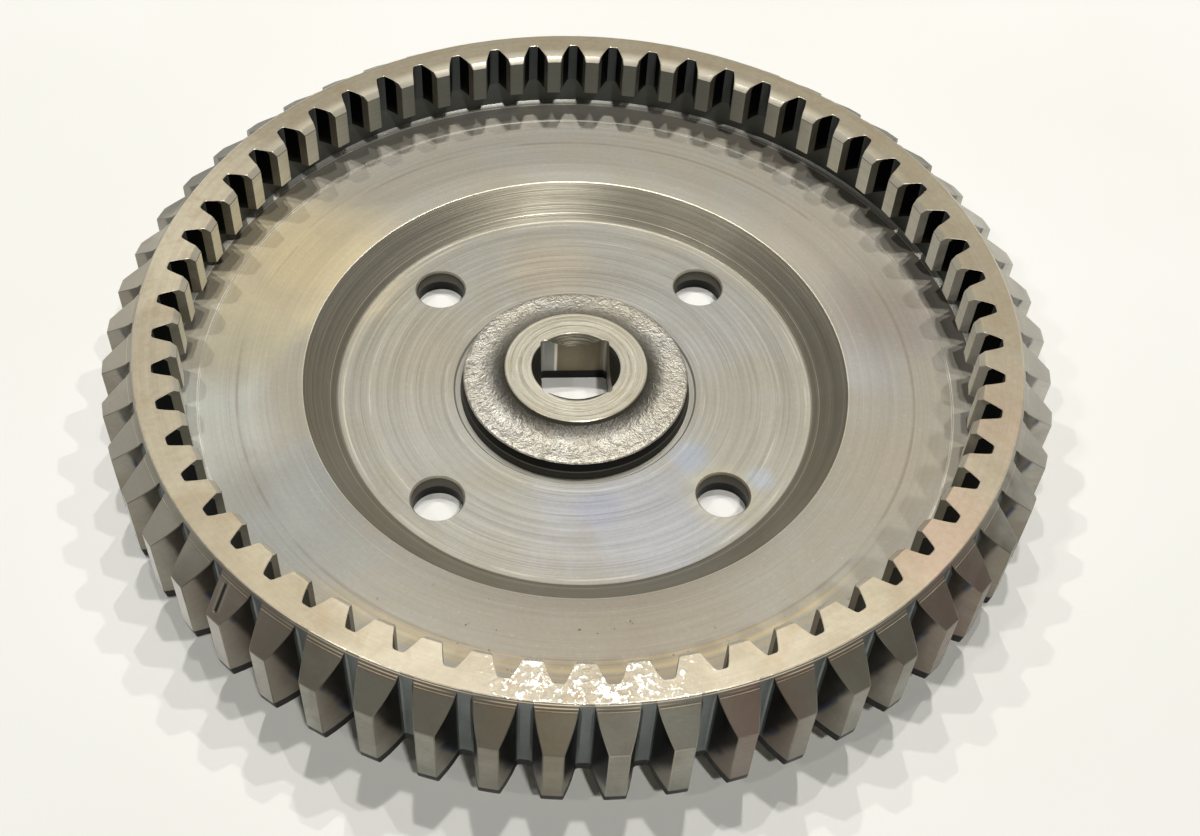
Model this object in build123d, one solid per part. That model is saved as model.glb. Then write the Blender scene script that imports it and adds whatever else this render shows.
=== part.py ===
from build123d import *
from math import acos, cos, hypot, pi, radians, sin, tan
import os

# Gear wheel with teeth on both sides of its rim, one forged and turned piece of steel.
# The axis is Z, the wheel lies on the underside of its disc at Z = 0, the hub faces up.

# heights of the turned steps, measured down from the top face of the rim
total_height = 25.5
rim_depth = 20.0
web_depth = 15.15
disc_depth = 20.5
nose_depth = 14.6
flange_depth = 17.0
inner_teeth_depth = 8.75

# inner teeth, which set the size of the wheel
inner_teeth = 57
inner_module = 2.5
inner_tip_depth = 1.25
inner_root_depth = 3.125
inner_widening = 0.373
pressure_angle = 20.0

# outer teeth, on the far side of the rim wall
rim_wall = 3.525
outer_teeth = 54
outer_root_depth = 3.1
outer_tip_height = 2.6
outer_widening = 0.438
outer_turn = -1.5

# turned-down tips of the outer teeth
rim_edge_inset = 0.4
cone_depth = 5.0
tip_bevel = 0.9
bottom_bevel_out = 0.35
bottom_bevel_up = 0.9

# ring below the inner teeth, web and dished disc
runout_depth = 0.2
wall_foot_width = 1.0
wall_foot_height = 0.8
recess_outer_radius = 49.9
recess_slope_run = 5.9
wall_offset = 2.6
underside_bevel = 0.8

# hub
flange_radius = 20.75
flange_draft = 0.55
foot_groove_width = 0.9
foot_groove_depth = 0.35
nose_radius = 13.05
nose_wall = 0.8
nose_fillet_width = 0.45
flange_sag = 0.75

# bore
square_side = 12.7
square_corner_radius = 0.9
countersink_radius = 8.2

# bolt holes
hole_count = 4
hole_diameter = 9.3
hole_circle_radius = 35.7
hole_first_angle = 45.0
hole_bevel = 0.3

# everything below follows from the sizes above
clearance = 1.5
rim_bottom = total_height - rim_depth
web_top = total_height - web_depth
disc_top = total_height - disc_depth
nose_top = total_height - nose_depth
flange_top = total_height - flange_depth
teeth_end = total_height - inner_teeth_depth
cone_foot = total_height - cone_depth
inner_pitch_radius = inner_teeth * inner_module / 2
inner_tip_radius = inner_pitch_radius - inner_tip_depth
inner_root_radius = inner_pitch_radius + inner_root_depth
inner_space = pi * inner_pitch_radius / inner_teeth + inner_widening
runout_radius = inner_root_radius + runout_depth
wall_foot_radius = runout_radius - wall_foot_width
wall_foot_top = web_top + wall_foot_height
outer_root_radius = inner_root_radius + rim_wall
outer_pitch_radius = outer_root_radius + outer_root_depth
outer_tip_radius = outer_pitch_radius + outer_tip_height
outer_thickness = pi * outer_pitch_radius / outer_teeth + outer_widening
rim_edge_radius = outer_root_radius - rim_edge_inset
recess_inner_radius = recess_outer_radius - recess_slope_run
flange_foot_radius = flange_radius + flange_draft


def polar(radius, angle):
    return (radius * cos(angle), radius * sin(angle))


def involute(angle):
    return tan(angle) - angle


def half_angle(radius, pitch_radius, thickness):
    # half the angle an involute tooth takes up on a circle of this radius
    base_radius = pitch_radius * cos(radians(pressure_angle))
    slope = acos(min(1.0, base_radius / radius))
    return thickness / (2 * pitch_radius) + involute(radians(pressure_angle)) - involute(slope)


def tooth_ring(teeth, pitch_radius, thickness, inside, outside, turn):
    # closed outline of a whole ring of teeth: foot arc, flank, crest arc, flank
    pitch = 2 * pi / teeth
    middle = (inside + outside) / 2
    low = half_angle(inside, pitch_radius, thickness)
    mid = half_angle(middle, pitch_radius, thickness)
    high = half_angle(outside, pitch_radius, thickness)
    edges = []
    for index in range(teeth):
        axis = radians(turn) + index * pitch
        left_foot = polar(inside, axis - low)
        left_crest = polar(outside, axis - high)
        right_crest = polar(outside, axis + high)
        right_foot = polar(inside, axis + low)
        next_foot = polar(inside, axis + pitch - low)
        edges.append(ThreePointArc(left_foot, polar(middle, axis - mid), left_crest))
        edges.append(ThreePointArc(left_crest, polar(outside, axis), right_crest))
        edges.append(ThreePointArc(right_crest, polar(middle, axis + mid), right_foot))
        edges.append(ThreePointArc(right_foot, polar(inside, axis + pitch / 2), next_foot))
    return make_face(Wire(edges))


def rim_profile():
    # outside of the rim from its underside up, then down the toothed inside to the web
    return [
        (outer_tip_radius - bottom_bevel_out, rim_bottom),
        (outer_tip_radius, rim_bottom + bottom_bevel_up),
        (outer_tip_radius, cone_foot),
        (rim_edge_radius, total_height),
        (inner_tip_radius + tip_bevel, total_height),
        (inner_tip_radius, total_height - tip_bevel),
        (inner_tip_radius, teeth_end),
        (runout_radius, teeth_end),
        (runout_radius, wall_foot_top),
        (wall_foot_radius, web_top),
    ]


def dish_profile():
    # slope from the web down to the disc, then the groove at the foot of the forged flange
    groove_outside = flange_foot_radius + foot_groove_width
    return [
        (recess_outer_radius, web_top),
        (recess_inner_radius, disc_top),
        (groove_outside + foot_groove_depth, disc_top),
        (groove_outside, disc_top - foot_groove_depth),
        (flange_foot_radius, disc_top - foot_groove_depth),
    ]


def hub_profile():
    # forged flange, its face sagging below the straight line up to the nose, and the nose
    edge = (flange_radius, flange_top)
    foot = (nose_radius + nose_fillet_width, nose_top - nose_wall)
    run = edge[0] - foot[0]
    rise = foot[1] - edge[1]
    length = hypot(run, rise)
    middle = (
        (edge[0] + foot[0]) / 2 - flange_sag * rise / length,
        (edge[1] + foot[1]) / 2 - flange_sag * run / length,
    )
    return [edge, middle, foot, (nose_radius, nose_top), (0, nose_top)]


def underside_profile():
    # plain dished underside, a wall's thickness from the dish above it
    dish_inside = recess_inner_radius + wall_offset
    dish_outside = recess_outer_radius + wall_offset
    return [
        (0, 0),
        (dish_inside - underside_bevel, 0),
        (dish_inside, underside_bevel),
        (dish_outside, rim_bottom),
    ]


def turned_blank():
    points = underside_profile() + rim_profile() + dish_profile() + hub_profile()
    outline = Polyline(*[(radius, 0, height) for radius, height in points], close=True)
    return revolve(make_face(outline), Axis.Z)


def outer_tooth_body():
    # prism over the outer teeth; the turned blank gives the tips, the cone and the ends
    reach = outer_tip_radius + clearance
    ring = tooth_ring(
        outer_teeth, outer_pitch_radius, outer_thickness, outer_root_radius, reach, outer_turn
    )
    return Pos(0, 0, -clearance) * extrude(ring, total_height + 2 * clearance)


def inner_tooth_spaces():
    # prism over the inner tooth spaces, run out into the open ring below the teeth
    start = (teeth_end + wall_foot_top) / 2
    ring = tooth_ring(
        inner_teeth, inner_pitch_radius, inner_space, inner_tip_radius - clearance,
        inner_root_radius, 0
    )
    return Pos(0, 0, start) * extrude(ring, total_height + clearance - start)


def square_bore():
    outline = RectangleRounded(square_side, square_side, square_corner_radius)
    hole = Pos(0, 0, -clearance) * extrude(outline, total_height)
    lead_in = Pos(0, 0, nose_top) * Cone(
        0, countersink_radius, countersink_radius,
        align=(Align.CENTER, Align.CENTER, Align.MAX)
    )
    return hole + lead_in


def bolt_holes():
    height = disc_top + 2 * clearance
    hole = Cylinder(hole_diameter / 2, height, align=(Align.CENTER, Align.CENTER, Align.MIN))
    hole = Pos(0, 0, -clearance) * hole
    flare = Cone(
        hole_diameter / 2 - hole_bevel, hole_diameter / 2 + hole_bevel, 2 * hole_bevel,
        align=(Align.CENTER, Align.CENTER, Align.MAX)
    )
    hole = hole + Pos(0, 0, disc_top) * flare
    spots = PolarLocations(hole_circle_radius, hole_count, hole_first_angle)
    return [spot * hole for spot in spots]


def gear_wheel():
    body = turned_blank() & outer_tooth_body()
    body = body - inner_tooth_spaces()
    body = body - square_bore()
    for hole in bolt_holes():
        body = body - hole
    return body


wheel = gear_wheel()
wheel.label = "gear_wheel"
os.makedirs("parts", exist_ok=True)
export_step(wheel, "parts/gear_wheel.step")
print("volume mm3", round(wheel.volume), "solids", len(wheel.solids()))
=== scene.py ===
import math
import bmesh
import bpy
import numpy as np
from mathutils import Matrix, Vector


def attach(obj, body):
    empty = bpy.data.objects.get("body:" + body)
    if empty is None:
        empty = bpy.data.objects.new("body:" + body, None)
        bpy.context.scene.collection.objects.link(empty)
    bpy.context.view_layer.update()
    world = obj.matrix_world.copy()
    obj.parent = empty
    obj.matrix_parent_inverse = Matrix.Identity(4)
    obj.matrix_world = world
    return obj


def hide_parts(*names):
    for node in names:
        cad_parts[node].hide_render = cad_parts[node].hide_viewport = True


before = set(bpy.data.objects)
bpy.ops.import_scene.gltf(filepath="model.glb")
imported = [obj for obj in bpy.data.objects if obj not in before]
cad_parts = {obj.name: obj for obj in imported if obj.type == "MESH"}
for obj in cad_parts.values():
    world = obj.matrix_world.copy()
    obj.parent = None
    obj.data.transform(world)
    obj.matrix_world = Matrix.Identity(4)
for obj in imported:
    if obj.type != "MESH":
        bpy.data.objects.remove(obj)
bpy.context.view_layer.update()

# Gear wheel with teeth on both sides of its rim, lying on a pale table.
# Lengths in the dictionaries are millimetres unless a name says otherwise.
mm = 0.001

wheelNode = "gear_wheel"
wheelBody = "root"


def linear(red, green, blue):
    # screen colour 0-255 to the linear values that shaders take
    share = np.array([red, green, blue]) / 255
    low, high = share / 12.92, ((share + 0.055) / 1.055) ** 2.4
    return (*np.where(share <= 0.04045, low, high).tolist(), 1.0)


class Skin:
    # gathers grids of points and the finish of each strip into one closed mesh
    def __init__(self):
        self.points, self.quads, self.triangles = [], [], []
        self.quadFinish, self.triangleFinish = [], []
        self.count = 0
        self.finishes = []

    def finishNumber(self, name):
        if name not in self.finishes:
            self.finishes.append(name)
        return self.finishes.index(name)

    def grid(self, rows, finishes):
        # rows of points closed in one direction; finishes has a name or a list of names a strip
        rows = np.asarray(rows)
        high, wide = rows.shape[:2]
        index = self.count + np.arange(high * wide).reshape(high, wide)
        ahead = np.roll(index, -1, axis=1)
        quads = np.stack([index[:-1], ahead[:-1], ahead[1:], index[1:]], axis=-1)
        self.points.append(rows.reshape(-1, 3))
        self.quads.append(quads.reshape(-1, 4))
        for name in finishes:
            names = [name] if isinstance(name, str) else name
            numbers = np.array([self.finishNumber(each) for each in names])
            self.quadFinish.append(np.tile(numbers, wide // len(numbers)))
        self.count += high * wide

    def bridge(self, first, second, finish):
        # joins two closed loops with different counts: both are walked in order of angle, and each
        # step along one loop makes a triangle with the point that the other loop has reached
        points = [np.asarray(first), np.asarray(second)]
        starts = [self.count, self.count + len(points[0])]
        order, walked = [], []
        for loop in points:
            angles = np.arctan2(loop[:, 1], loop[:, 0]) % (2 * np.pi)
            order.append(np.argsort(angles))
            walked.append(np.sort(angles))
        steps = np.concatenate(walked)
        side = np.repeat([0, 1], [len(points[0]), len(points[1])])
        turn = np.argsort(steps, kind="stable")
        side = side[turn]
        firstReached = np.cumsum(side == 0) - 1
        secondReached = np.cumsum(side == 1) - 1
        counts = [len(points[0]), len(points[1])]
        a = starts[0] + order[0][firstReached % counts[0]]
        b = starts[1] + order[1][secondReached % counts[1]]
        before = np.where(side == 0, firstReached - 1, secondReached - 1)
        last = np.where(
            side == 0,
            starts[0] + order[0][before % counts[0]],
            starts[1] + order[1][before % counts[1]],
        )
        self.points += points
        self.triangles.append(np.stack([last, a, b], axis=-1))
        self.triangleFinish.append(np.full(len(a), self.finishNumber(finish)))
        self.count += counts[0] + counts[1]

    def build(self, name, finishMaterials, sharpAngle):
        points = np.concatenate(self.points)
        faces = np.concatenate(self.quads).tolist() + np.concatenate(self.triangles).tolist()
        numbers = np.concatenate(self.quadFinish + self.triangleFinish)
        mesh = bpy.data.meshes.new(name)
        mesh.from_pydata(points.tolist(), [], faces)
        for finish in self.finishes:
            mesh.materials.append(finishMaterials[finish])
        mesh.polygons.foreach_set("material_index", numbers.astype(np.int32))
        piece = bpy.data.objects.new(name, mesh)
        bpy.context.scene.collection.objects.link(piece)
        weld(mesh)
        mesh.shade_smooth()
        mesh.set_sharp_from_angle(angle=math.radians(sharpAngle))
        return piece


def weld(mesh):
    # joins points that meet, drops faces with no area and turns all faces outwards
    work = bmesh.new()
    work.from_mesh(mesh)
    bmesh.ops.remove_doubles(work, verts=work.verts, dist=0.002 * mm)
    bmesh.ops.dissolve_degenerate(work, edges=work.edges, dist=0.0005 * mm)
    bmesh.ops.recalc_face_normals(work, faces=work.faces)
    openEdges = sum(not edge.is_manifold for edge in work.edges)
    print("seams left open:", openEdges, "faces:", len(work.faces), "volume mm3:",
          round(work.calc_volume(signed=True) / mm**3))
    work.to_mesh(mesh)
    work.free()
    mesh.update()


def ringRow(radius, height, angles):
    # points on a turned surface: radius and height may each be one number or one a point
    radius = np.broadcast_to(radius, angles.shape)
    height = np.broadcast_to(height, angles.shape)
    return np.stack([radius * np.cos(angles), radius * np.sin(angles), height], axis=-1) * mm


def softNoise(turn, along, cells, seed):
    # smooth random heights in -1..1 that close round the wheel: seeded values at the corners of
    # a grid, eased between them
    corners = np.random.default_rng(seed).uniform(-1, 1, (cells[0], cells[1] + 2))
    u, v = (turn % 1) * cells[0], np.clip(along, 0, 1) * cells[1]
    i, j = np.floor(u).astype(int), np.floor(v).astype(int)
    s, t = u - i, v - j
    s, t = s * s * (3 - 2 * s), t * t * (3 - 2 * t)
    low = corners[i % cells[0], j] * (1 - s) + corners[(i + 1) % cells[0], j] * s
    high = corners[i % cells[0], j + 1] * (1 - s) + corners[(i + 1) % cells[0], j + 1] * s
    return low * (1 - t) + high * t


teeth = {
    "pressureAngle": 20.0,      # degrees
    "outerCount": 54, "outerPitchRadius": 81.0, "outerThickness": 5.15, "outerTurn": -1.5,
    "outerRoot": 77.9, "outerTip": 83.58,
    "innerCount": 57, "innerPitchRadius": 71.25, "innerSpace": 4.3,
    "innerRoot": 74.375, "innerTip": 70.0,
    "outerPoints": 19, "innerPoints": 18,       # points of one tooth pitch: 1026 round both rows
    "edgeBreak": 0.13, "outerFillet": 0.55, "innerFillet": 0.4,
    "filletMiddle": 0.3, "filletLean": 0.16, "filletRun": 0.75,     # shares of a root fillet
}
innerShift = 0      # points by which the inner row is turned, to start where the outer row does
shiftReach = 30     # most points that the shift may take


def flankHalfAngle(radius, pitchRadius, thickness):
    # half the angle of an involute tooth at a radius: half its thickness on the pitch circle,
    # plus the involute of the pressure angle, less the involute of the slope at this radius
    pressure = math.radians(teeth["pressureAngle"])
    slope = np.arccos(np.minimum(1.0, pitchRadius * math.cos(pressure) / radius))
    return (thickness / (2 * pitchRadius) + math.tan(pressure) - pressure
            - (np.tan(slope) - slope))


def outerHalf(radius):
    return flankHalfAngle(radius, teeth["outerPitchRadius"], teeth["outerThickness"])


def innerHalf(radius):
    # half a tooth is half the pitch less half the space, which is itself shaped like a tooth
    space = flankHalfAngle(radius, teeth["innerPitchRadius"], teeth["innerSpace"])
    return math.pi / teeth["innerCount"] - space


def outerRow(tip, height, shrink=0.0):
    # one level of the outer teeth: crest, edge break, involute flank, fillet and root, mirrored
    # about each tooth's middle; shrink draws the flanks in where an edge is broken
    root = min(teeth["outerRoot"], tip - 0.02) - shrink
    depth = tip - root
    edge = min(teeth["edgeBreak"], 0.3 * depth)
    fillet = min(teeth["outerFillet"], 0.25 * depth)
    radii = np.array([
        tip, tip, tip, tip - edge, root + 0.66 * depth, root + 0.36 * depth,
        root + fillet, root + teeth["filletMiddle"] * fillet, root, root,
    ])
    angles = outerHalf(radii) - shrink / radii
    gapMiddle = math.pi / teeth["outerCount"]
    angles[2] -= edge / tip
    angles[1] = 0.55 * angles[2]
    angles[0] = 0
    angles[7] += teeth["filletLean"] * fillet / root
    angles[8] += teeth["filletRun"] * fillet / root
    angles[9] = 0.45 * angles[8] + 0.55 * gapMiddle
    wholeRadii = np.concatenate([radii[:0:-1], radii])
    wholeAngles = np.concatenate([-angles[:0:-1], angles])
    count = teeth["outerCount"]
    middles = math.radians(teeth["outerTurn"]) + np.arange(count) * 2 * math.pi / count
    allAngles = (middles[:, None] + wholeAngles[None, :]).ravel()
    return ringRow(np.tile(wholeRadii, count), height, allAngles), allAngles


def innerRow(tip, height, widen=0.0):
    # one level of the inner teeth, seen from the middle of a tooth out to the space beside it
    root = teeth["innerRoot"] + widen
    depth = root - tip
    edge, fillet = teeth["edgeBreak"], teeth["innerFillet"]
    radii = np.array([
        tip, tip, tip + edge, tip + 0.38 * depth, tip + 0.7 * depth,
        root - fillet, root - teeth["filletMiddle"] * fillet, root, root,
    ])
    angles = innerHalf(radii) - widen / radii
    spaceMiddle = math.pi / teeth["innerCount"]
    angles[1] -= edge / tip
    angles[0] = 0.35 * angles[1]
    angles[6] += teeth["filletLean"] * fillet / root
    angles[7] += teeth["filletRun"] * fillet / root
    angles[8] = 0.4 * angles[7] + 0.6 * spaceMiddle
    wholeRadii = np.concatenate([radii[::-1], radii])
    wholeAngles = np.concatenate([-angles[::-1], angles])
    count = teeth["innerCount"]
    middles = (np.arange(count) - 0.5) * 2 * math.pi / count
    allAngles = (middles[:, None] + wholeAngles[None, :]).ravel()
    row = ringRow(np.tile(wholeRadii, count), height, allAngles)
    return np.roll(row, -innerShift, axis=0), np.roll(allAngles, -innerShift)


def nearestShift():
    # the turn of the inner row that brings its points nearest to those of the outer row
    outer = outerRow(teeth["outerTip"], 0)[1]
    inner = innerRow(teeth["innerTip"], 0)[1]
    gaps = [np.abs(np.exp(1j * np.roll(inner, -step)) - np.exp(1j * outer)).mean()
            for step in range(-shiftReach, shiftReach)]
    return int(np.argmin(gaps)) - shiftReach


innerShift = nearestShift()

rim = {
    "top": 25.5, "underside": 5.5, "undersideInner": 75.6, "edgeRadius": 77.5,
    "faceRadii": (76.9, 76.1, 75.3),            # rings across the top face
    "coneFoot": 20.5, "coneRows": 9, "coneDrop": 5.0, "coneRun": 6.1,
    "stepRadius": 78.6, "stepDepth": 0.2, "upperRadius": 77.99, "upperDepth": 0.4,
    "bottomBevelOut": 0.35, "bottomBevelUp": 1.9, "bottomShrink": 0.06,
    "tipBevel": 0.9, "teethEnd": 16.75, "ease": 0.08,
    "grooveRadius": 74.575, "footTop": 11.15, "footRadius": 73.575,
}


def toothStrips(land, flank, root, points, shift=0):
    # finish of each strip of one tooth pitch, from the middle of a gap over the tooth to the next
    half = ([land] * 2 + ["toothEdge"] + [flank] * 3 + [root] * 4)[:(points - 1) // 2]
    middle = [] if points % 2 else [land]
    strips = half[::-1] + middle + half + [root]
    start = shift % points
    return strips[start:] + strips[:start]


def outerStrips(land):
    return toothStrips(land, "outerFlank", "outerRoot", teeth["outerPoints"])


def innerStrips(land):
    return toothStrips(land, "innerFlank", "innerRoot", teeth["innerPoints"], innerShift)


def addOuterSide(loops, finishes):
    # outer teeth and the cone turned over them, from the rim's underside up to its top face
    tip = teeth["outerTip"]
    bevelRadius = tip - rim["bottomBevelOut"]
    stepOut = rim["stepRadius"] - rim["edgeRadius"]
    stepTop = rim["top"] - stepOut * rim["coneDrop"] / rim["coneRun"]
    stepLow = stepTop - rim["stepDepth"]

    def level(radius, height, finish, shrink=0.0):
        row, angles = outerRow(radius, height, shrink)
        loops.append(row)
        finishes.append(finish)
        return angles

    bottomAngles = level(bevelRadius, rim["underside"], "underside", rim["bottomShrink"])
    loops.insert(0, ringRow(rim["undersideInner"], rim["underside"], bottomAngles))
    level(bevelRadius + 0.05, rim["underside"] + 0.1, "lowerBevel")
    level(tip, rim["underside"] + rim["bottomBevelUp"], "lowerBevel")
    level(tip, rim["coneFoot"] - 0.16, outerStrips("toothLand"))
    radii = np.linspace(tip - 0.1, rim["stepRadius"], rim["coneRows"])
    heights = np.interp(radii, [rim["stepRadius"], tip], [stepLow, rim["coneFoot"]])
    level(radii[0], heights[0], outerStrips("toothEdge"))
    for radius, height in zip(radii[1:], heights[1:]):
        level(radius, height, outerStrips("cone"))
    level(rim["stepRadius"], stepTop - 0.03, outerStrips("coneLine"))
    level(rim["stepRadius"] - 0.06, stepTop + 0.03, outerStrips("coneLine"))
    level(rim["upperRadius"], rim["top"] - rim["upperDepth"], outerStrips("cone"))
    level(rim["edgeRadius"] + 0.12, rim["top"] - 0.11, "cone")
    level(rim["edgeRadius"] - 0.06, rim["top"], "rimEdge")


def addInnerSide(loops, finishes, innerAngles):
    # inner teeth, the plain wall below them and the outer part of the web
    tip, ease = teeth["innerTip"], rim["ease"]
    bevelFoot = rim["top"] - rim["tipBevel"]
    lineTop = web["top"] + web["lineStep"]

    def level(radius, height, finish, widen=0.0):
        loops.append(innerRow(radius, height, widen)[0])
        finishes.append(finish)

    level(tip + rim["tipBevel"] + ease, rim["top"], "rimFace", ease)
    level(tip + rim["tipBevel"], rim["top"] - ease, "rimEdge")
    level(tip + 0.06, bevelFoot, innerStrips("innerBevel"))
    level(tip, bevelFoot - 0.12, innerStrips("toothEdge"))
    level(tip, rim["teethEnd"] + 0.1, innerStrips("innerLand"))
    level(tip + ease, rim["teethEnd"], "toothEdge", ease)
    for radius, height, finish in (
        (rim["grooveRadius"], rim["teethEnd"], "underTeeth"),
        (rim["grooveRadius"], rim["footTop"], "underTeeth"),
        (rim["grooveRadius"] - 0.12, rim["footTop"] - 0.12, "wallFoot"),
        (rim["footRadius"] + 0.12, lineTop + 0.06, "wallFoot"),
        (rim["footRadius"] - 0.08, lineTop, "footEdge"),
        (web["lineRadius"] + 0.04, lineTop, "web"),
        (web["lineRadius"] - 0.1, web["top"] + 0.02, "webLine"),
        (web["lineRadius"] - 0.25, web["top"], "web"),
        (web["rimJoin"], web["top"], "web"),
    ):
        loops.append(ringRow(radius, height, innerAngles))
        finishes.append(finish)


def addRim(skin):
    # both sides of the rim and the flat face between them, whose points turn from the places of
    # the outer teeth to those of the inner ones
    loops, finishes = [], []
    addOuterSide(loops, finishes)
    outerAngles = outerRow(rim["edgeRadius"], 0)[1]
    innerAngles = innerRow(teeth["innerTip"], 0)[1]
    innerAngles = outerAngles + np.angle(np.exp(1j * (innerAngles - outerAngles)))
    between = (outerAngles + innerAngles) / 2
    for radius, angles in zip(rim["faceRadii"], (outerAngles, between, innerAngles)):
        loops.append(ringRow(radius, rim["top"], angles))
        finishes.append("rimFace")
    addInnerSide(loops, finishes, innerAngles)
    skin.grid(loops, finishes)
    return loops[0], loops[-1]


web = {
    "top": 10.35, "lineRadius": 68.6, "lineStep": 0.2, "rimJoin": 66.0, "dishJoin": 63.0,
    "middleRadius": 57.0, "outerRadius": 49.9, "innerRadius": 44.0,
    "breakShare": 0.8, "breakDrop": 0.12, "points": 384,
}


def roundAngles():
    # the points of every plain turned ring, evenly spaced
    return np.arange(web["points"]) * 2 * math.pi / web["points"]


def addWeb(skin, rimLoop):
    # web, slope of the dish and the rim of the flat disc
    angles = roundAngles()
    run = web["outerRadius"] - web["innerRadius"]
    fall = web["top"] - disc["top"]
    breakRadius = web["outerRadius"] - web["breakShare"] * run
    breakHeight = web["top"] - web["breakShare"] * fall
    steps = [
        (web["dishJoin"], web["top"], None),
        (web["middleRadius"], web["top"], "web"),
        (web["outerRadius"] + 0.12, web["top"], "web"),
        (web["outerRadius"] - 0.06, web["top"] - 0.05, "dishEdge"),
        (web["outerRadius"] - 0.3, web["top"] - 0.27, "dishSlope"),
        (breakRadius + 0.1, breakHeight + 0.09, "dishSlope"),
        (breakRadius - 0.02, breakHeight - 0.02, "dishEdge"),
        (breakRadius - 0.05, breakHeight - web["breakDrop"], "dishSlope"),
        (web["innerRadius"] + 0.4, disc["top"] + 0.3, "dishSlope"),
        (web["innerRadius"] + 0.12, disc["top"] + 0.09, "dishSlope"),
        (web["innerRadius"] - 0.2, disc["top"], "dishSlope"),
        (disc["outerRadius"], disc["top"], "disc"),
    ]
    skin.bridge(rimLoop, ringRow(steps[0][0], steps[0][1], angles), "web")
    skin.grid([ringRow(r, z, angles) for r, z, _ in steps], [f for _, _, f in steps[1:]])


disc = {
    "top": 5.0, "outerRadius": 43.5, "innerRadius": 24.0, "holeRadius": 4.65, "holeBevel": 0.3,
    "holeCircle": 35.7, "undersideOuter": 45.0, "undersideInner": 20.0, "spokeSteps": 8,
    "holeShare": 0.55,                          # how far the ring inside each quarter is drawn in
}


def quadrantLoop(quarter, outer, inner, height):
    # outline of a quarter of the disc: outer arc, spoke inwards, inner arc back, spoke outwards
    arc = np.linspace(0, math.pi / 2, web["points"] // 4 + 1) + quarter * math.pi / 2
    spoke = np.linspace(outer, inner, disc["spokeSteps"] + 1)
    angles = np.concatenate([
        arc[:-1], np.full(disc["spokeSteps"], arc[-1]), arc[:0:-1],
        np.full(disc["spokeSteps"], arc[0]),
    ])
    radii = np.concatenate([
        np.full(len(arc) - 1, outer), spoke[:-1], np.full(len(arc) - 1, inner), spoke[:0:-1],
    ])
    return ringRow(radii, height, angles)


def addDiscQuarter(skin, quarter):
    # flat quarter of the disc drawn in to its bolt hole, through the hole and out underneath:
    # each outline point goes straight to the point of the hole's edge that faces it
    middle = (quarter + 0.5) * math.pi / 2
    centre = np.array([math.cos(middle), math.sin(middle), 0]) * disc["holeCircle"] * mm
    upper = quadrantLoop(quarter, disc["outerRadius"], disc["innerRadius"], disc["top"])
    lower = quadrantLoop(quarter, disc["undersideOuter"], disc["undersideInner"], 0.0)

    def edge(loop, radius, height):
        facing = loop - centre
        facing[:, 2] = 0
        facing /= np.linalg.norm(facing, axis=1)[:, None]
        return centre + facing * radius * mm + np.array([0, 0, height * mm])

    def drawnIn(loop, target):
        return loop * (1 - disc["holeShare"]) + target * disc["holeShare"]

    hole, bevelFoot = disc["holeRadius"], disc["top"] - disc["holeBevel"]
    above = edge(upper, hole + disc["holeBevel"], disc["top"])
    below = edge(lower, hole + 0.1, 0.0)
    skin.grid([
        upper, drawnIn(upper, above), above,
        edge(upper, hole + 0.05, bevelFoot + 0.02), edge(upper, hole, bevelFoot - 0.1),
        edge((upper + lower) / 2, hole, disc["top"] / 2),
        edge(lower, hole, 0.1), below, drawnIn(lower, below), lower,
    ], [
        "disc", "disc", "holeEdge", "holeEdge", "hole", "hole", "holeEdge", "underside",
        "underside",
    ])


hub = {
    "grooveOuter": 22.55, "grooveDepth": 0.35, "footRadius": 21.3,
    "flangeProfile": (                          # radius and height, from the foot to the nose
        (21.2, 5.3), (21.05, 6.2), (20.92, 7.2), (20.82, 7.9), (20.72, 8.25), (20.5, 8.47),
        (20.1, 8.56), (19.5, 8.55), (18.9, 8.53), (18.3, 8.52), (17.7, 8.53), (17.1, 8.57),
        (16.5, 8.65), (15.9, 8.78), (15.35, 8.96), (14.85, 9.18), (14.4, 9.42), (14.0, 9.68),
        (13.7, 9.9), (13.45, 10.1),
    ),
    "sideRows": 5,                              # rows of the profile that are the flange's wall
    "lump": 0.07, "lumpPeak": 0.9,
    "lumpAlong": ((0, 0.12, 0.3, 0.85, 1), (0.1, 0.5, 1, 1, 0.2)),  # share of the way, strength
    "lumpSizes": (                              # cells round and along, seed, share
        ((26, 4), 11, 1.0), ((74, 9), 12, 0.6), ((170, 18), 13, 0.35),
    ),
    "noseRadius": 13.05, "noseTop": 10.9, "squareSide": 12.7, "cornerRadius": 0.9,
    "countersink": 8.2, "boreMiddle": 5.0,
}


def squareRadius(angles):
    # distance from the axis to the wall of the rounded square bore in each direction
    side, corner = hub["squareSide"] / 2, hub["cornerRadius"]
    turned = np.abs((angles + math.pi / 4) % (math.pi / 2) - math.pi / 4)
    flat = side / np.cos(turned)
    reach = (side - corner) * math.sqrt(2)
    off = turned - math.pi / 4
    rounded = reach * np.cos(off) + np.sqrt(
        np.maximum(corner**2 - (reach * np.sin(off)) ** 2, 0)
    )
    return np.where(turned > math.atan2(side - corner, side), rounded, flat)


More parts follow.
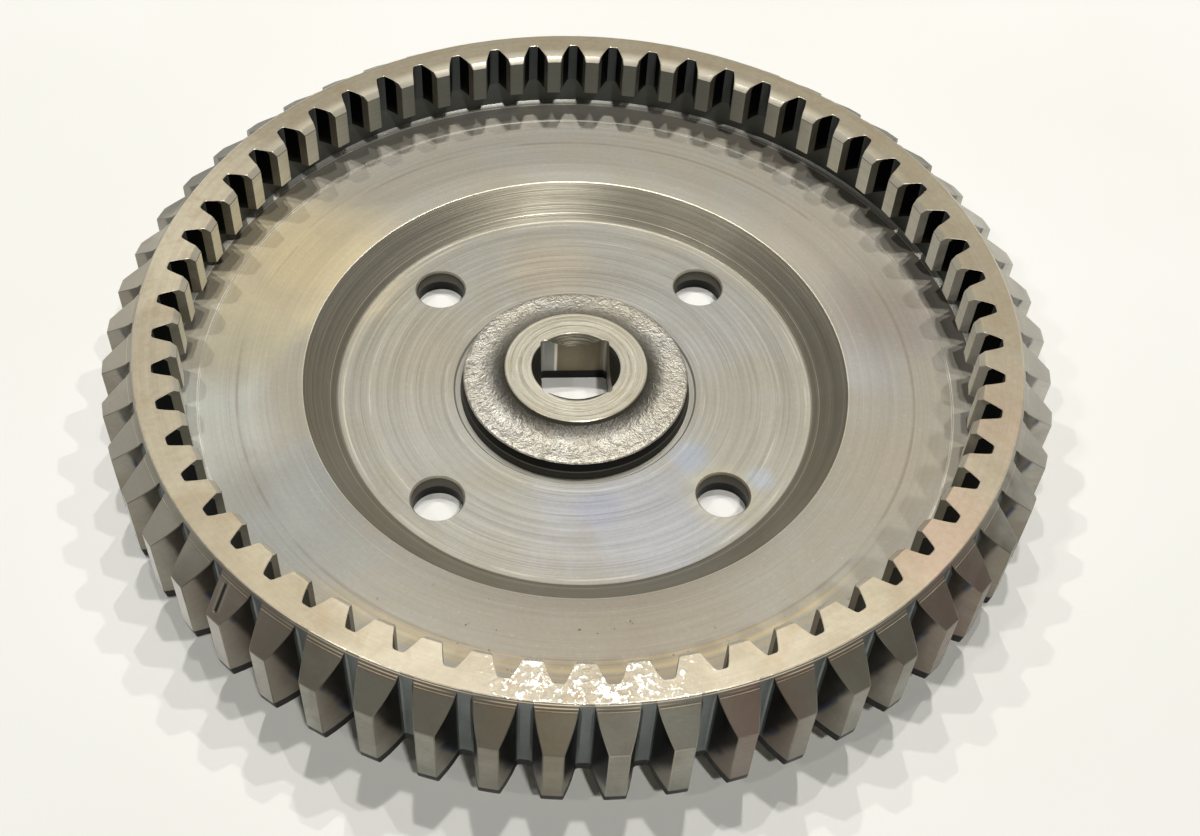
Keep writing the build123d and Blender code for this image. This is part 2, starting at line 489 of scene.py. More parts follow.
def flangeRows(angles):
    # the forged flange: its profile, each row pushed off its own surface by the lumps
    profile = np.array(hub["flangeProfile"])
    slope = np.gradient(profile, axis=0)
    slope /= np.linalg.norm(slope, axis=1)[:, None]
    normal = np.stack([slope[:, 1], -slope[:, 0]], axis=1)
    share = np.linspace(0, 1, len(profile))
    strength = np.interp(share, *hub["lumpAlong"]) * hub["lump"]
    turn = angles / (2 * math.pi)
    rows = []
    for index, (radius, height) in enumerate(profile):
        rough = sum(
            amount * softNoise(turn, share[index], cells, seed)
            for cells, seed, amount in hub["lumpSizes"]
        )
        push = np.minimum(rough, hub["lumpPeak"]) * strength[index]
        rows.append(ringRow(
            radius + normal[index][0] * push, height + normal[index][1] * push, angles
        ))
    return rows


def addHub(skin):
    # foot groove, forged flange, nose, countersink, square bore and the underside round it
    angles = roundAngles()
    top, noseTop = disc["top"], hub["noseTop"]
    grooveFloor = top - hub["grooveDepth"]
    loops = [ringRow(radius, height, angles) for radius, height in (
        (disc["innerRadius"], top), (hub["grooveOuter"] + 0.05, top),
        (hub["grooveOuter"] - 0.3, grooveFloor), (hub["footRadius"] + 0.02, grooveFloor),
    )]
    finishes = ["disc", "grooveEdge", "groove"]
    flange = flangeRows(angles)
    loops += flange
    finishes += ["flangeSide"] * hub["sideRows"] + ["flange"] * (len(flange) - hub["sideRows"])
    wall = squareRadius(angles)
    mouth = np.maximum(wall, hub["countersink"]) + 0.02
    seat = np.minimum(noseTop - (hub["countersink"] - wall), noseTop - 0.08)
    for radius, height, finish in (
        (hub["noseRadius"] + 0.06, noseTop - 0.12, "noseWall"),
        (hub["noseRadius"] - 0.12, noseTop, "noseEdge"),
        ((mouth + hub["noseRadius"]) / 2, noseTop, "nose"),
        (mouth + 0.08, noseTop, "nose"),
        (np.maximum(mouth - 0.06, wall), noseTop - 0.07, "noseEdge"),
        (wall, seat, "countersink"),
        (wall, hub["boreMiddle"], "bore"),
        (wall, 0.1, "bore"),
        (wall + 0.1, 0.0, "holeEdge"),
        (disc["undersideInner"], 0.0, "underside"),
    ):
        loops.append(ringRow(radius, height, angles))
        finishes.append(finish)
    skin.grid(loops, finishes)


under = {"innerRadius": 46.6, "outerRadius": 52.5, "bevel": 0.8, "rimJoin": 58.0}


def addUnderside(skin, rimLoop):
    # flat disc underneath, its bevel and the slope up to the underside of the rim
    angles = roundAngles()
    loops = [ringRow(radius, height, angles) for radius, height in (
        (disc["undersideOuter"], 0.0), (under["innerRadius"] - under["bevel"], 0.0),
        (under["innerRadius"], under["bevel"]), (under["outerRadius"], rim["underside"]),
        (under["outerRadius"] + 0.3, rim["underside"]), (under["rimJoin"], rim["underside"]),
    )]
    skin.grid(loops, ["underside"] * (len(loops) - 1))
    skin.bridge(loops[-1], rimLoop, "underside")


# the steel's finishes

class Signal:
    # a number carried by a node's socket; arithmetic on it adds Math nodes
    def __init__(self, finish, socket):
        self.finish, self.socket = finish, socket

    def maths(self, operation, *values):
        return self.finish.node(
            "ShaderNodeMath", {"operation": operation}, dict(enumerate(values))
        )

    def __add__(self, other):
        return self.maths("ADD", self, other)

    def __sub__(self, other):
        return self.maths("SUBTRACT", self, other)

    def __rsub__(self, other):
        return self.maths("SUBTRACT", other, self)

    def __mul__(self, other):
        return self.maths("MULTIPLY", self, other)

    def __truediv__(self, other):
        return self.maths("DIVIDE", self, other)

    def __pow__(self, other):
        return self.maths("POWER", self, other)

    def absolute(self):
        return self.maths("ABSOLUTE", self)

    __radd__ = __add__
    __rmul__ = __mul__


class Finish:
    # the nodes of one material or of the world, made one after another
    def __init__(self, owner):
        owner.use_nodes = True
        self.owner = owner
        self.tree = owner.node_tree
        self.tree.nodes.clear()

    def node(self, kind, settings=None, inputs=None, output=0):
        made = self.tree.nodes.new(kind)
        for key, value in (settings or {}).items():
            if key == "stops":
                ramp = made.color_ramp
                while len(ramp.elements) < len(value):
                    ramp.elements.new(0.5)
                for element, (place, colour) in zip(ramp.elements, value):
                    element.position, element.color = place, colour
            else:
                setattr(made, key, value)
        for key, value in (inputs or {}).items():
            if isinstance(value, Signal):
                self.tree.links.new(value.socket, made.inputs[key])
            else:
                made.inputs[key].default_value = value
        return Signal(self, made.outputs[output]) if len(made.outputs) else None

    def parts(self, vector):
        sockets = self.node("ShaderNodeSeparateXYZ", inputs={0: vector}).socket.node.outputs
        return [Signal(self, socket) for socket in sockets]

    def place(self):
        # the object's own coordinates in millimetres, the distance from the axis and the way there
        self.where = self.node("ShaderNodeTexCoord", output="Object")
        self.x, self.y, self.z = (part * 1000.0 for part in self.parts(self.where))
        self.radius = (self.x * self.x + self.y * self.y) ** 0.5
        self.cosine, self.sine = self.x / self.radius, self.y / self.radius
        self.profile = self.z * 1.3 + self.radius

    def noise(self, vector, scale, detail=2.0, roughness=0.5, distortion=0.0):
        return self.node("ShaderNodeTexNoise", {"noise_dimensions": "3D"}, {
            "Vector": vector, "Scale": scale, "Detail": detail, "Roughness": roughness,
            "Distortion": distortion,
        })

    def rings(self, pitch, breaks, detail=2.0, shift=0.0):
        # marks left by turning: they change along the profile and only slowly round the axis
        return self.noise(self.vector(
            self.profile / pitch + shift, self.cosine * breaks, self.sine * breaks
        ), 1.0, detail, 0.6)

    def line(self, middle, width):
        # one where the distance from the axis is the given one, falling to nothing on both sides
        away = (self.radius - middle).absolute()
        return self.band(away, 0.0, width, 1.0, 0.0)

    def spot(self, place, reach, ragged=0.5):
        # one round a place on the wheel, falling to nothing with a ragged edge
        across, along = self.x - place[0], self.y - place[1]
        away = (across * across + along * along) ** 0.5
        away = away + (self.cloud - 0.5) * (reach * ragged * 2.0)
        return self.band(away, reach * 0.25, reach, 1.0, 0.0)

    def vector(self, x=0.0, y=0.0, z=0.0):
        return self.node("ShaderNodeCombineXYZ", inputs={0: x, 1: y, 2: z})

    def band(self, value, low, high, toLow=0.0, toHigh=1.0):
        # smooth step from one value to another between two limits
        return self.node("ShaderNodeMapRange", {"interpolation_type": "SMOOTHSTEP"}, {
            "Value": value, "From Min": low, "From Max": high, "To Min": toLow, "To Max": toHigh,
        })

    def blend(self, factor, first, second, mode="MIX"):
        return self.node("ShaderNodeMix", {"data_type": "RGBA", "blend_type": mode},
                         {0: factor, 6: first, 7: second}, output=2)


steelFinishes = {
    # colour and the warm or cool tint that clouds it (screen values), how metallic and rough it
    # is, strength and pitch (mm) of its turning marks, grain strength and size (mm), cloud amount
    "rimFace": ((170, 161, 139), (155, 142, 118), 0.6, 0.5, 0.35, 0.9, 0.5, 0.9, 0.5),
    # painted highlight: the rim's outer and inner edges are much paler than the face beside them
    "rimEdge": ((240, 232, 212), (206, 190, 158), 0.6, 0.34, 0.1, 0.5, 0.3, 0.6, 0.4),
    "cone": ((114, 112, 101), (103, 95, 83), 0.55, 0.44, 0.6, 0.5, 0.3, 0.7, 0.6),
    # painted highlight: the lines at the step in the cone
    "coneLine": ((236, 226, 200), (176, 160, 132), 0.6, 0.34, 0.1, 0.4, 0.3, 0.9, 0.8),
    "toothLand": ((150, 148, 138), (124, 119, 106), 0.55, 0.44, 0.4, 0.6, 0.5, 0.7, 0.6),
    "toothEdge": ((132, 128, 115), (100, 95, 83), 0.6, 0.38, 0.1, 0.5, 0.5, 0.5, 0.9),
    # painted shade: the near-black of the lower bevel stands for the shaded gap under the teeth
    "lowerBevel": ((20, 20, 20), (14, 14, 14), 0.4, 0.5, 0.1, 0.5, 0.3, 0.6, 0.5),
    "outerFlank": ((150, 146, 134), (132, 120, 106), 0.6, 0.4, 0.3, 0.8, 0.4, 0.8, 0.6),
    "outerRoot": ((116, 122, 122), (94, 97, 95), 0.6, 0.34, 0.3, 0.8, 0.4, 0.8, 0.5),
    # painted highlight: the inner crests are given a near-white colour
    "innerLand": ((244, 242, 228), (226, 220, 200), 0.55, 0.42, 0.5, 0.6, 0.3, 0.6, 0.5),
    # painted highlight: the bevel round the crests of the inner teeth
    "innerBevel": ((236, 230, 212), (206, 194, 168), 0.6, 0.36, 0.2, 0.4, 0.2, 0.5, 0.4),
    # painted shade: the near-black of the inner flanks stands for the shade between the inner
    # teeth
    "innerFlank": ((24, 25, 24), (17, 17, 16), 0.4, 0.5, 0.3, 0.8, 0.3, 0.7, 0.6),
    "innerRoot": ((84, 90, 92), (70, 74, 75), 0.55, 0.45, 0.3, 0.8, 0.3, 0.7, 0.4),
    "underTeeth": ((104, 108, 106), (88, 90, 86), 0.55, 0.46, 0.3, 0.6, 0.2, 0.6, 0.5),
    "wallFoot": ((176, 175, 168), (158, 154, 142), 0.6, 0.42, 0.5, 0.5, 0.2, 0.5, 0.4),
    # painted highlight: the edge at the foot of the wall below the inner teeth
    "footEdge": ((238, 234, 220), (214, 206, 186), 0.6, 0.34, 0.1, 0.4, 0.2, 0.5, 0.4),
    "web": ((163, 160, 150), (167, 157, 138), 0.7, 0.64, 0.4, 0.9, 0.3, 0.8, 0.4),
    # painted highlight: the step line on the web and the edges of the dish
    "webLine": ((240, 236, 222), (212, 204, 182), 0.6, 0.35, 0.1, 0.4, 0.1, 0.5, 0.3),
    "dishEdge": ((214, 208, 190), (180, 170, 146), 0.6, 0.36, 0.1, 0.4, 0.2, 0.6, 0.6),
    "dishSlope": ((148, 143, 128), (136, 128, 111), 0.6, 0.4, 1.2, 0.5, 0.25, 0.7, 0.4),
    "disc": ((162, 160, 151), (164, 157, 139), 0.75, 0.6, 0.9, 0.7, 0.3, 0.8, 0.4),
    # painted highlight: the bevels of the bolt holes and the bore
    "holeEdge": ((206, 200, 182), (150, 140, 120), 0.6, 0.34, 0.0, 0.3, 0.3, 0.8, 0.8),
    "hole": ((86, 83, 73), (70, 62, 52), 0.55, 0.42, 0.5, 0.5, 0.4, 0.6, 0.5),
    "groove": ((158, 156, 147), (142, 138, 126), 0.6, 0.5, 0.4, 0.4, 0.1, 0.5, 0.4),
    "grooveEdge": ((160, 158, 149), (150, 145, 132), 0.6, 0.5, 0.2, 0.4, 0.1, 0.5, 0.3),
    "flange": ((176, 173, 163), (164, 154, 134), 0.6, 0.42, 0.0, 0.5, 0.6, 0.8, 0.5),
    # painted shade: the dark colour of the flange wall stands for the shade under the flange
    "flangeSide": ((58, 57, 53), (48, 44, 38), 0.55, 0.5, 0.1, 0.5, 0.6, 0.8, 0.5),
    "nose": ((180, 176, 160), (168, 158, 136), 0.5, 0.48, 1.2, 0.55, 0.4, 0.6, 0.6),
    # painted highlight: the edge round the nose
    "noseEdge": ((214, 208, 190), (180, 168, 142), 0.6, 0.34, 0.1, 0.4, 0.3, 0.7, 0.7),
    "noseWall": ((84, 81, 72), (70, 62, 50), 0.55, 0.45, 0.2, 0.4, 0.3, 0.5, 0.4),
    "countersink": ((98, 94, 80), (84, 76, 58), 0.6, 0.36, 2.0, 0.45, 0.2, 0.5, 0.5),
    "bore": ((122, 112, 92), (98, 86, 64), 0.6, 0.36, 0.0, 0.5, 0.4, 0.6, 0.8),
    "underside": ((150, 147, 136), (140, 131, 112), 0.5, 0.5, 0.6, 0.7, 0.3, 0.8, 0.5),
}

flats = ("web", "disc")
rimTop = ("rimFace", "rimEdge", "innerBevel")
outside = ("cone", "toothLand", "outerFlank")
# real stains and rust, and also patches of painted light and painted highlight on the teeth, as
# noted below
stainsAndPaintedLight = (
    # finishes, place on the wheel (mm), reach (mm), colour that it takes there, amount
    (flats, (-52, 28), 26, (206, 190, 150), 0.65),
    (flats, (-61, 8), 16, (186, 178, 146), 0.45),
    (flats, (-50, -32), 22, (146, 150, 150), 0.5),
    (flats, (-64, -12), 17, (188, 191, 184), 0.6),
    (flats, (54, 0), 14, (170, 170, 172), 0.5),
    (flats, (60, 12), 18, (142, 132, 124), 0.55),
    (flats, (48, 34), 16, (176, 164, 146), 0.4),
    (flats, (56, -24), 16, (170, 158, 140), 0.4),
    (flats, (2, -56), 34, (152, 139, 122), 0.4),
    (flats, (10, -30), 24, (166, 168, 174), 0.7),
    (flats, (24, 16), 18, (164, 164, 164), 0.45),
    (flats, (-26, 8), 16, (168, 158, 140), 0.4),
    (flats, (-4, 30), 12, (182, 168, 146), 0.45),
    (flats, (25, -25), 9, (196, 190, 158), 0.55),
    (flats, (20, -17), 5, (158, 166, 180), 0.6),
    (flats, (32, -22), 4, (166, 174, 186), 0.6),
    (flats, (3, -28), 6, (150, 152, 168), 0.5),
    (rimTop, (-72, 24), 30, (226, 216, 190), 0.5),
    (rimTop, (56, -50), 16, (178, 150, 130), 0.5),
    (rimTop, (70, -25), 14, (176, 154, 134), 0.4),
    # painted highlight: the inner crests on the right side are lightened further
    (("innerLand",), (66, 14), 30, (255, 254, 246), 0.9),
    (outside, (24, -78), 10, (104, 62, 48), 0.4),
    (outside, (-10, -80), 12, (124, 108, 76), 0.35),
    # painted light: the cones, lands and flanks of the outer teeth on the right and left sides are
    # lightened
    (("cone",), (84, -4), 62, (206, 202, 190), 0.85),
    (("toothLand", "outerFlank", "toothEdge"), (80, 0), 44, (226, 224, 216), 0.6),
    (("cone",), (-70, -34), 34, (184, 180, 166), 0.85),
    (("cone",), (-84, 2), 38, (200, 194, 178), 0.85),
    (("toothLand",), (-66, -50), 38, (222, 221, 216), 0.8),
    # painted highlight on the edges of the front outer teeth
    (("toothEdge",), (6, -83), 10, (220, 214, 198), 0.4),
    (outside, (58, -58), 14, (122, 84, 76), 0.3),
    (outside, (-56, -60), 12, (134, 116, 106), 0.35),
)
turnedLines = (
    # finishes, distance from the axis and half width (mm), colour, amount
    (("web",), 61.7, 0.5, (128, 116, 102), 0.5),
    (("web",), 63.1, 0.25, (140, 128, 112), 0.3),
    # painted highlight on the step line in the web
    (("web",), 68.62, 0.3, (246, 242, 230), 0.8),
    (("web",), 52.6, 0.12, (196, 192, 180), 0.35),
    (("disc",), 42.9, 0.35, (210, 204, 186), 0.5),
    (("disc",), 40.6, 0.15, (140, 134, 120), 0.5),
    (("disc",), 38.1, 0.2, (206, 200, 184), 0.5),
    (("disc",), 34.2, 0.15, (138, 130, 116), 0.5),
    (("disc",), 29.6, 0.2, (144, 136, 122), 0.45),
    (("disc",), 24.2, 0.3, (206, 202, 190), 0.4),
    (("nose",), 11.9, 0.2, (140, 122, 96), 0.6),
    (("nose",), 10.9, 0.15, (220, 214, 196), 0.6),
    (("nose",), 10.1, 0.2, (144, 126, 100), 0.6),
    (("nose",), 9.2, 0.12, (152, 136, 110), 0.5),
    (("cone",), 78.3, 1.1, (122, 100, 78), 0.7),
    # painted highlights: two bright lines on the ridges of the cone
    (("cone",), 78.2, 0.12, (240, 228, 202), 1.0),
    (("cone",), 77.8, 0.1, (240, 228, 202), 1.0),
)
# the short groove on one tooth's cone: its middle, the way it runs, half length and half width
toothGroove = {"middle": (-57.6, -56.6), "way": (-0.463, -0.886), "half": 2.1, "width": 0.45}


marks = {
    # screen values of the marks that the functions below put on single finishes: real tints and
    # dust, and also painted highlights, reflections and shade, as each function says
    "tanLines": (184, 166, 128), "goldLine": (206, 190, 150), "dust": (214, 212, 204),
    "specks": (84, 74, 60),
    "frontSheen": (214, 208, 196), "frontWarm": (160, 136, 106), "backHighlight": (244, 236, 216),
    "glint": (254, 253, 248),
    "ridges": (246, 242, 234), "hollows": (124, 120, 110), "flangeFootShade": (58, 56, 50),
    "flangeWall": (10, 10, 9), "flangeLine": (136, 134, 124), "countersinkSides": (34, 32, 26),
    "flankBlue": (62, 80, 118), "flankDark": (4, 6, 9), "backCrests": (84, 89, 86),
    "innerDark": (6, 9, 11),
    "boreFacet": (158, 160, 156), "boreStrip": (150, 148, 138), "boreLine": (236, 232, 218),
    "grooveLip": (196, 190, 172), "grooveCut": (22, 20, 18), "lowWallShade": (6, 6, 6),
}


def mark(finish, name, amount, colour):
    return finish.blend(amount, colour, linear(*marks[name]))


def addStainsLinesAndPaintedLight(finish, name, colour):
    for names, place, reach, tint, amount in stainsAndPaintedLight:
        if name in names:
            colour = finish.blend(finish.spot(place, reach) * amount, colour, linear(*tint))
    for names, radius, width, tint, amount in turnedLines:
        if name in names:
            broken = finish.band(finish.rings(3.0, 3.0, 2.0, radius), 0.36, 0.56)
            share = finish.line(radius, width) * broken * amount
            if name == "cone":
                share = share * finish.band(finish.sine, -0.75, -0.97, 0.12, 1.0)
            colour = finish.blend(share, colour, linear(*tint))
    return colour


def markFlats(finish, colour):
    # golden turning lines and dark specks near the front, and pale dust all over
    front = finish.band(finish.y, -42.0, -56.0)
    tan = finish.band(finish.rings(0.45, 0.6, 3.0, 40.0), 0.5, 0.64) * front
    tan = tan * finish.band(finish.radius, 58.5, 62.0) * 0.6
    colour = mark(finish, "tanLines", tan, colour)
    gold = finish.line(63.6, 0.9) * front * finish.band(finish.cloud, 0.35, 0.5) * 0.55
    colour = mark(finish, "goldLine", gold, colour)
    dust = finish.noise(finish.where, 1300.0, 2.0, 0.7)
    colour = mark(finish, "dust", finish.band(dust, 0.62, 0.74) * 0.15, colour)
    specks = finish.band(finish.noise(finish.where, 800.0, 2.0, 0.6), 0.7, 0.75) * front * 0.7
    return mark(finish, "specks", specks, colour)


def markRimTop(finish, colour, roughness, height):
    # battered front with painted glints and a broad painted highlight, a painted highlight along
    # the inner edge at the back, and brown handling marks
    chips = finish.noise(finish.where, 920.0, 4.0, 0.68, 0.35)
    wornAndGlinting = finish.spot((-2, -73), 24, 0.5)
    glint = finish.band(chips + wornAndGlinting * 0.1, 0.62, 0.7) * wornAndGlinting
    # painted highlight: the front of the face is lightened
    pale = finish.spot((-6, -74), 40, 0.6) * 0.2
    colour = mark(finish, "frontSheen", pale, colour)
    warm = finish.band(finish.noise(finish.where, 150.0, 3.0, 0.6, 1.5), 0.5, 0.7)
    colour = mark(finish, "frontWarm", warm * 0.3, colour)
    # painted highlight along the inner edge at the back
    backHighlight = finish.band(finish.sine, 0.3, 0.9) * finish.band(finish.radius, 73.6, 70.9)
    colour = mark(finish, "backHighlight", backHighlight * 0.6, colour)
    # painted glints on the chips at the front
    colour = mark(finish, "glint", glint, colour)
    return colour, roughness - glint * 0.2, height + chips * wornAndGlinting * 0.2


def markFlange(finish, colour, height):
    # forged skin: short ridges where a folded noise creases, with painted highlights on the ridges
    # and painted shade between them, and painted shade where it climbs to the nose, lighter at the
    # back
    ridges = (finish.noise(finish.where, 820.0, 2.0, 0.6, 0.5) - 0.5).absolute()
    pits = finish.noise(finish.where, 1700.0, 3.0, 0.7)
    colour = mark(finish, "ridges", finish.band(ridges, 0.0, 0.05, 0.2, 0.0), colour)
    colour = mark(finish, "hollows", finish.band(ridges, 0.08, 0.2, 0.0, 0.35), colour)
    back = finish.band(finish.y, 2.0, 12.0, 1.0, 0.6)
    foot = finish.band(finish.radius + (pits - 0.5) * 2.0, 13.2, 17.4, 0.85, 0.0)
    colour = mark(finish, "flangeFootShade", foot * back, colour)
    return colour, height - ridges * 0.3 + pits * 0.1


def markFlangeSide(finish, colour):
    # painted shade: the wall of the flange is black under its rim and lighter at its foot, with a
    # fine line
    colour = mark(finish, "flangeWall", finish.band(finish.z, 6.4, 6.7), colour)
    line = finish.band((finish.z - 6.35).absolute(), 0.0, 0.25, 0.6, 0.0)
    return mark(finish, "flangeLine", line, colour)


def markCountersink(finish, colour):
    # its sides face away from the light
    sides = finish.band(finish.x.absolute(), 4.6, 6.4) * 0.85
    return mark(finish, "countersinkSides", sides, colour)


def markOuterFlank(finish, colour):
    # a flank mirrors the pale table low down and near its crest; deep in the gap it is painted
    # black as shade, with a band of painted blue sheen at the edge of it: at the front the painted
    # shade fills most of the flank, at the sides only the part by the root
    side = finish.cosine.absolute()
    deep = finish.z - (finish.radius - 78.0) * (side * 3.4 + 1.3) + (finish.cloud - 0.5) * 6.0
    deep = deep - (side * 5.0 + 5.5)
    blue = finish.band(finish.noise(finish.where, 160.0, 2.0, 0.5), 0.48, 0.6)
    between = finish.band(deep, -3.4, -0.6) * finish.band(deep, 3.0, 0.0)
    colour = mark(finish, "flankBlue", between * blue * 0.8, colour)
    dark = finish.band(deep, -3.0, 1.6) * (side * -0.42 + 1.0)
    return mark(finish, "flankDark", dark, colour), dark


def markInnerLand(finish, colour):
    # painted reflection: the crests at the back are darkened as they mirror the dark inside of the
    # rim
    return mark(finish, "backCrests", finish.band(finish.sine, 0.6, 0.94) * 0.85, colour)


def markInnerFlank(finish, colour):
    # painted shade: black from a little above the lower end of the teeth
    height = finish.z + (finish.cloud - 0.5) * 2.0
    dark = finish.band(height, 16.6, 18.6) * 0.9
    return mark(finish, "innerDark", dark, colour), dark


def markBore(finish, colour):
    # the broached back wall: a pale facet and a pale strip painted as lit faces, a bright line of
    # painted highlight, and a brown middle
    colour = mark(finish, "boreFacet", finish.band(finish.x, -3.5, -3.9) * 0.8, colour)
    colour = mark(finish, "boreStrip", finish.band(finish.x, 4.9, 5.2) * 0.6, colour)
    line = finish.band((finish.x + 3.4).absolute(), 0.12, 0.42, 0.9, 0.0)
    return mark(finish, "boreLine", line, colour)


def markCone(finish, colour, height):
    # the short groove: a cut in painted shade and its pale lip, both measured across and along the
    # groove
    halfLength, halfWidth = toothGroove["half"], toothGroove["width"]
    along, across = toothGroove["way"], (-toothGroove["way"][1], toothGroove["way"][0])
    x, y = finish.x - toothGroove["middle"][0], finish.y - toothGroove["middle"][1]
    length = (x * along[0] + y * along[1]).absolute()
    width = (x * across[0] + y * across[1]).absolute()
    inside = finish.band(length, halfLength, halfLength - 0.4)
    cut = finish.band(width, halfWidth, 0.1) * inside
    lip = finish.band(width, halfWidth * 2.2, halfWidth) * inside
    colour = mark(finish, "grooveLip", lip * 0.2, colour)
    return mark(finish, "grooveCut", cut * 0.95, colour), height - cut * 0.4


colourMarks = {
    "web": markFlats, "disc": markFlats, "flangeSide": markFlangeSide, "bore": markBore,
    "countersink": markCountersink, "innerLand": markInnerLand,
}
heightMarks = {"flange": markFlange, "cone": markCone}
darkMarks = {"outerFlank": markOuterFlank, "innerFlank": markInnerFlank}


def makeFinish(name, values):
    # clouded colour, stains and patches of painted light, turning marks and grain over them, then
    # the finish's own marks
    base, tint, metallic, roughness, ringStrength, pitch, grainStrength, grainSize, clouds = values
    finish = Finish(bpy.data.materials.new("steel_" + name))
    finish.place()
    finish.cloud = finish.noise(finish.where, 55.0, 4.0, 0.6, 0.8)
    rings = finish.rings(pitch, 0.6)
    fine = finish.rings(pitch * 0.3, 1.4, 2.0, 17.0)
    broad = finish.rings(pitch * 5.0, 0.8, 2.0, 31.0)
    scratches = finish.band(finish.rings(pitch * 0.35, 2.6, 1.0, 53.0), 0.66, 0.74)
    grain = finish.noise(finish.where, 1000.0 / grainSize, 3.0, 0.6)
    colour = finish.blend(
        finish.band(finish.cloud, 0.38, 0.62) * clouds, linear(*base), linear(*tint)
    )
    colour = addStainsLinesAndPaintedLight(finish, name, colour)
    turned = (rings - 0.5) * 0.6 + (fine - 0.5) * 0.6 + (broad - 0.5) * 0.35
    shade = (turned * ringStrength + 1.0) * ((grain - 0.5) * (grainStrength * 0.6) + 1.0)
    shade = shade + scratches * (ringStrength * 0.16)
    colour = finish.blend(1.0, colour, finish.vector(shade, shade, shade), "MULTIPLY")
    roughness = (finish.cloud - 0.5) * 0.14 + (rings - 0.5) * 0.12 + roughness
    height = rings * (ringStrength * 0.05) + fine * (ringStrength * 0.02)
    height = height + grain * (grainStrength * 0.05)
    if name in rimTop:
        colour, roughness, height = markRimTop(finish, colour, roughness, height)
    elif name in colourMarks:
        colour = colourMarks[name](finish, colour)
    elif name in heightMarks:
        colour, height = heightMarks[name](finish, colour, height)
    elif name in darkMarks:
        colour, dark = darkMarks[name](finish, colour)
        metallic = dark * (1.0 - metallic) + metallic   # the dark part mirrors nothing pale
    if name in ("bore", "hole"):
        # painted shade: the lowest part of each wall is painted black for the dark gap above the
        # table that the real wheel has there
        colour = mark(finish, "lowWallShade", finish.band(finish.z, 2.4, 2.1), colour)
    bump = finish.node("ShaderNodeBump", None, {
        "Strength": 1.0, "Distance": 0.001, "Height": height,
    })
    shader = finish.node("ShaderNodeBsdfPrincipled", None, {
        "Base Color": colour, "Metallic": metallic, "Roughness": roughness, "Normal": bump,
    })
    finish.node("ShaderNodeOutputMaterial", None, {0: shader})
    return finish.owner


print("finishes")
finishMaterials = {name: makeFinish(name, values) for name, values in steelFinishes.items()}

print("wheel surface")
skin = Skin()
rimBottomLoop, rimInnerLoop = addRim(skin)
addWeb(skin, rimInnerLoop)
for quarter in range(4):
    addDiscQuarter(skin, quarter)
addHub(skin)
addUnderside(skin, rimBottomLoop)
wheel = skin.build("wheel_surface", finishMaterials, 24)
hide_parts(wheelNode)
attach(wheel, wheelBody)

# table, lamps and camera

table = {"halfSide": 1.6, "colour": (239, 239, 235), "tint": (236, 236, 231), "roughness": 0.55}


def makeTable():
    finish = Finish(bpy.data.materials.new("table_top"))
    finish.place()
    mottle = finish.noise(finish.where, 9.0, 3.0, 0.5)
    colour = finish.blend(
        finish.band(mottle, 0.3, 0.7), linear(*table["colour"]), linear(*table["tint"])
    )
    shader = finish.node("ShaderNodeBsdfPrincipled", None, {
        "Base Color": colour, "Roughness": table["roughness"], "Specular IOR Level": 0.2,
    })
    finish.node("ShaderNodeOutputMaterial", None, {0: shader})
    side = table["halfSide"]
    mesh = bpy.data.meshes.new("table_top")
    corners = [(-side, -side, 0), (side, -side, 0), (side, side, 0), (-side, side, 0)]
    mesh.from_pydata(corners, [], [(0, 1, 2, 3)])
    mesh.materials.append(finish.owner)
    piece = bpy.data.objects.new("table_top", mesh)
    bpy.context.scene.collection.objects.link(piece)


lampColour = (255, 253, 249)
lamps = {
    # near lamps: place (m), strength at the wheel and radius (m)
    "leftLamp": ((-0.185, 0.185, 0.56), 0.47, 0.006),
    "rightLamp": ((0.21, 0.145, 0.56), 0.5, 0.006),
    "backLamp": ((0.028, 0.21, 0.56), 0.54, 0.006),
}
farLamps = {
    # direction towards each lamp, its strength and the angle that it fills in degrees
    "topLamp": ((0.04, 0.25, 1.0), 0.88, 2),
    "frontLamp": ((0.2, -0.6, 1.0), 1.15, 4),
    "frontLeftLamp": ((-0.7, -0.45, 1.0), 0.25, 3),
}
room = {
    # brightness of the room by height of direction: 0 level with the table, 1 straight up
    "stops": ((0.0, 0.3), (0.12, 0.3), (0.35, 0.02), (1.0, 0.02)),
    "warmth": 0.98,
}


def addLamp(name, kind, energy, place):
    light = bpy.data.lights.new(name, kind)
    light.energy = energy
    light.color = linear(*lampColour)[:3]
    lamp = bpy.data.objects.new(name, light)
    bpy.context.scene.collection.objects.link(lamp)
    lamp.location = place
    return lamp


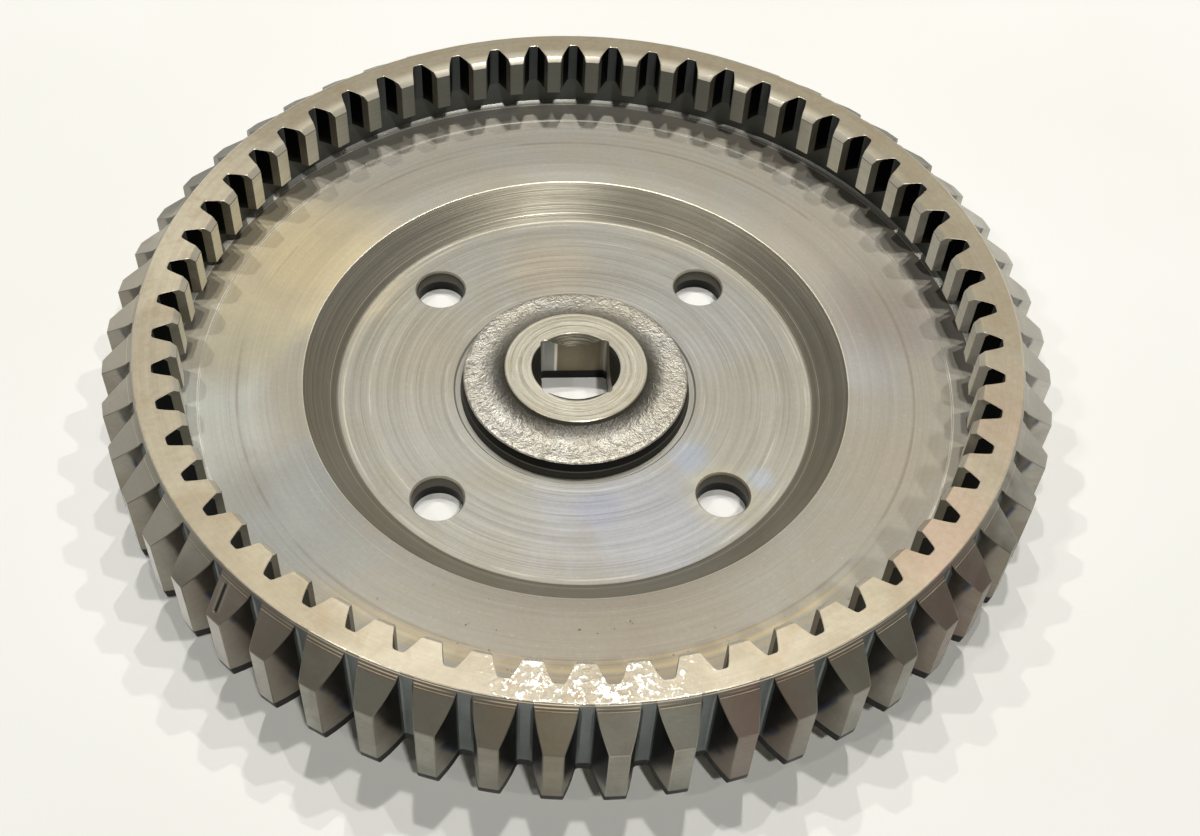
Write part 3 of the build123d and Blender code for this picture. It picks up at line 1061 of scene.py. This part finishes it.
def makeLamps():
    for name, (place, strength, radius) in lamps.items():
        energy = strength * 4 * math.pi * Vector(place).length_squared
        lamp = addLamp(name, "POINT", energy, Vector(place))
        lamp.data.shadow_soft_size = radius
    for name, (towards, strength, angle) in farLamps.items():
        lamp = addLamp(name, "SUN", strength, Vector(towards))
        lamp.data.angle = math.radians(angle)
        lamp.rotation_mode = "QUATERNION"
        lamp.rotation_quaternion = Vector(towards).to_track_quat("Z", "Y")


def makeRoom():
    world = bpy.data.worlds.new("room")
    bpy.context.scene.world = world
    finish = Finish(world)
    rise = finish.parts(finish.node("ShaderNodeTexCoord", output="Generated"))[2]
    glow = finish.node("ShaderNodeValToRGB", {"stops": [
        (place, (value, value, value * room["warmth"], 1.0)) for place, value in room["stops"]
    ]}, {0: rise})
    backdrop = finish.node("ShaderNodeBackground", None, {"Color": glow, "Strength": 1.0})
    finish.node("ShaderNodeOutputWorld", None, {0: backdrop})


# the camera looks down at the wheel from the front, a little to the left of its middle
view = {
    "place": (-15.59, -190.61, 232.18), "elevation": 51.079, "roll": 1.876, "turn": -3.2,
    "lens": 47.806, "sensor": 36.0, "shift": 0.0438,
}


def makeCamera():
    data = bpy.data.cameras.new("camera")
    data.lens, data.sensor_width = view["lens"], view["sensor"]
    data.sensor_fit = "HORIZONTAL"
    data.shift_x = view["shift"]
    data.clip_start, data.clip_end = 0.01, 20
    camera = bpy.data.objects.new("camera", data)
    bpy.context.scene.collection.objects.link(camera)
    rise, roll = math.radians(view["elevation"]), math.radians(view["roll"])
    level = Vector((1, 0, 0))
    down = Vector((0, -math.sin(rise), -math.cos(rise)))
    right = level * math.cos(roll) - down * math.sin(roll)
    lower = level * math.sin(roll) + down * math.cos(roll)
    forward = Vector((0, math.cos(rise), -math.sin(rise)))
    axes = Matrix((right, -lower, -forward)).transposed()
    axes = Matrix.Rotation(math.radians(view["turn"]), 3, "Z") @ axes
    camera.matrix_world = Matrix.Translation(Vector(view["place"]) * mm) @ axes.to_4x4()
    bpy.context.scene.camera = camera


print("table, lamps and camera")
makeTable()
makeLamps()
makeRoom()
makeCamera()
bpy.context.scene.view_settings.view_transform = "Standard"
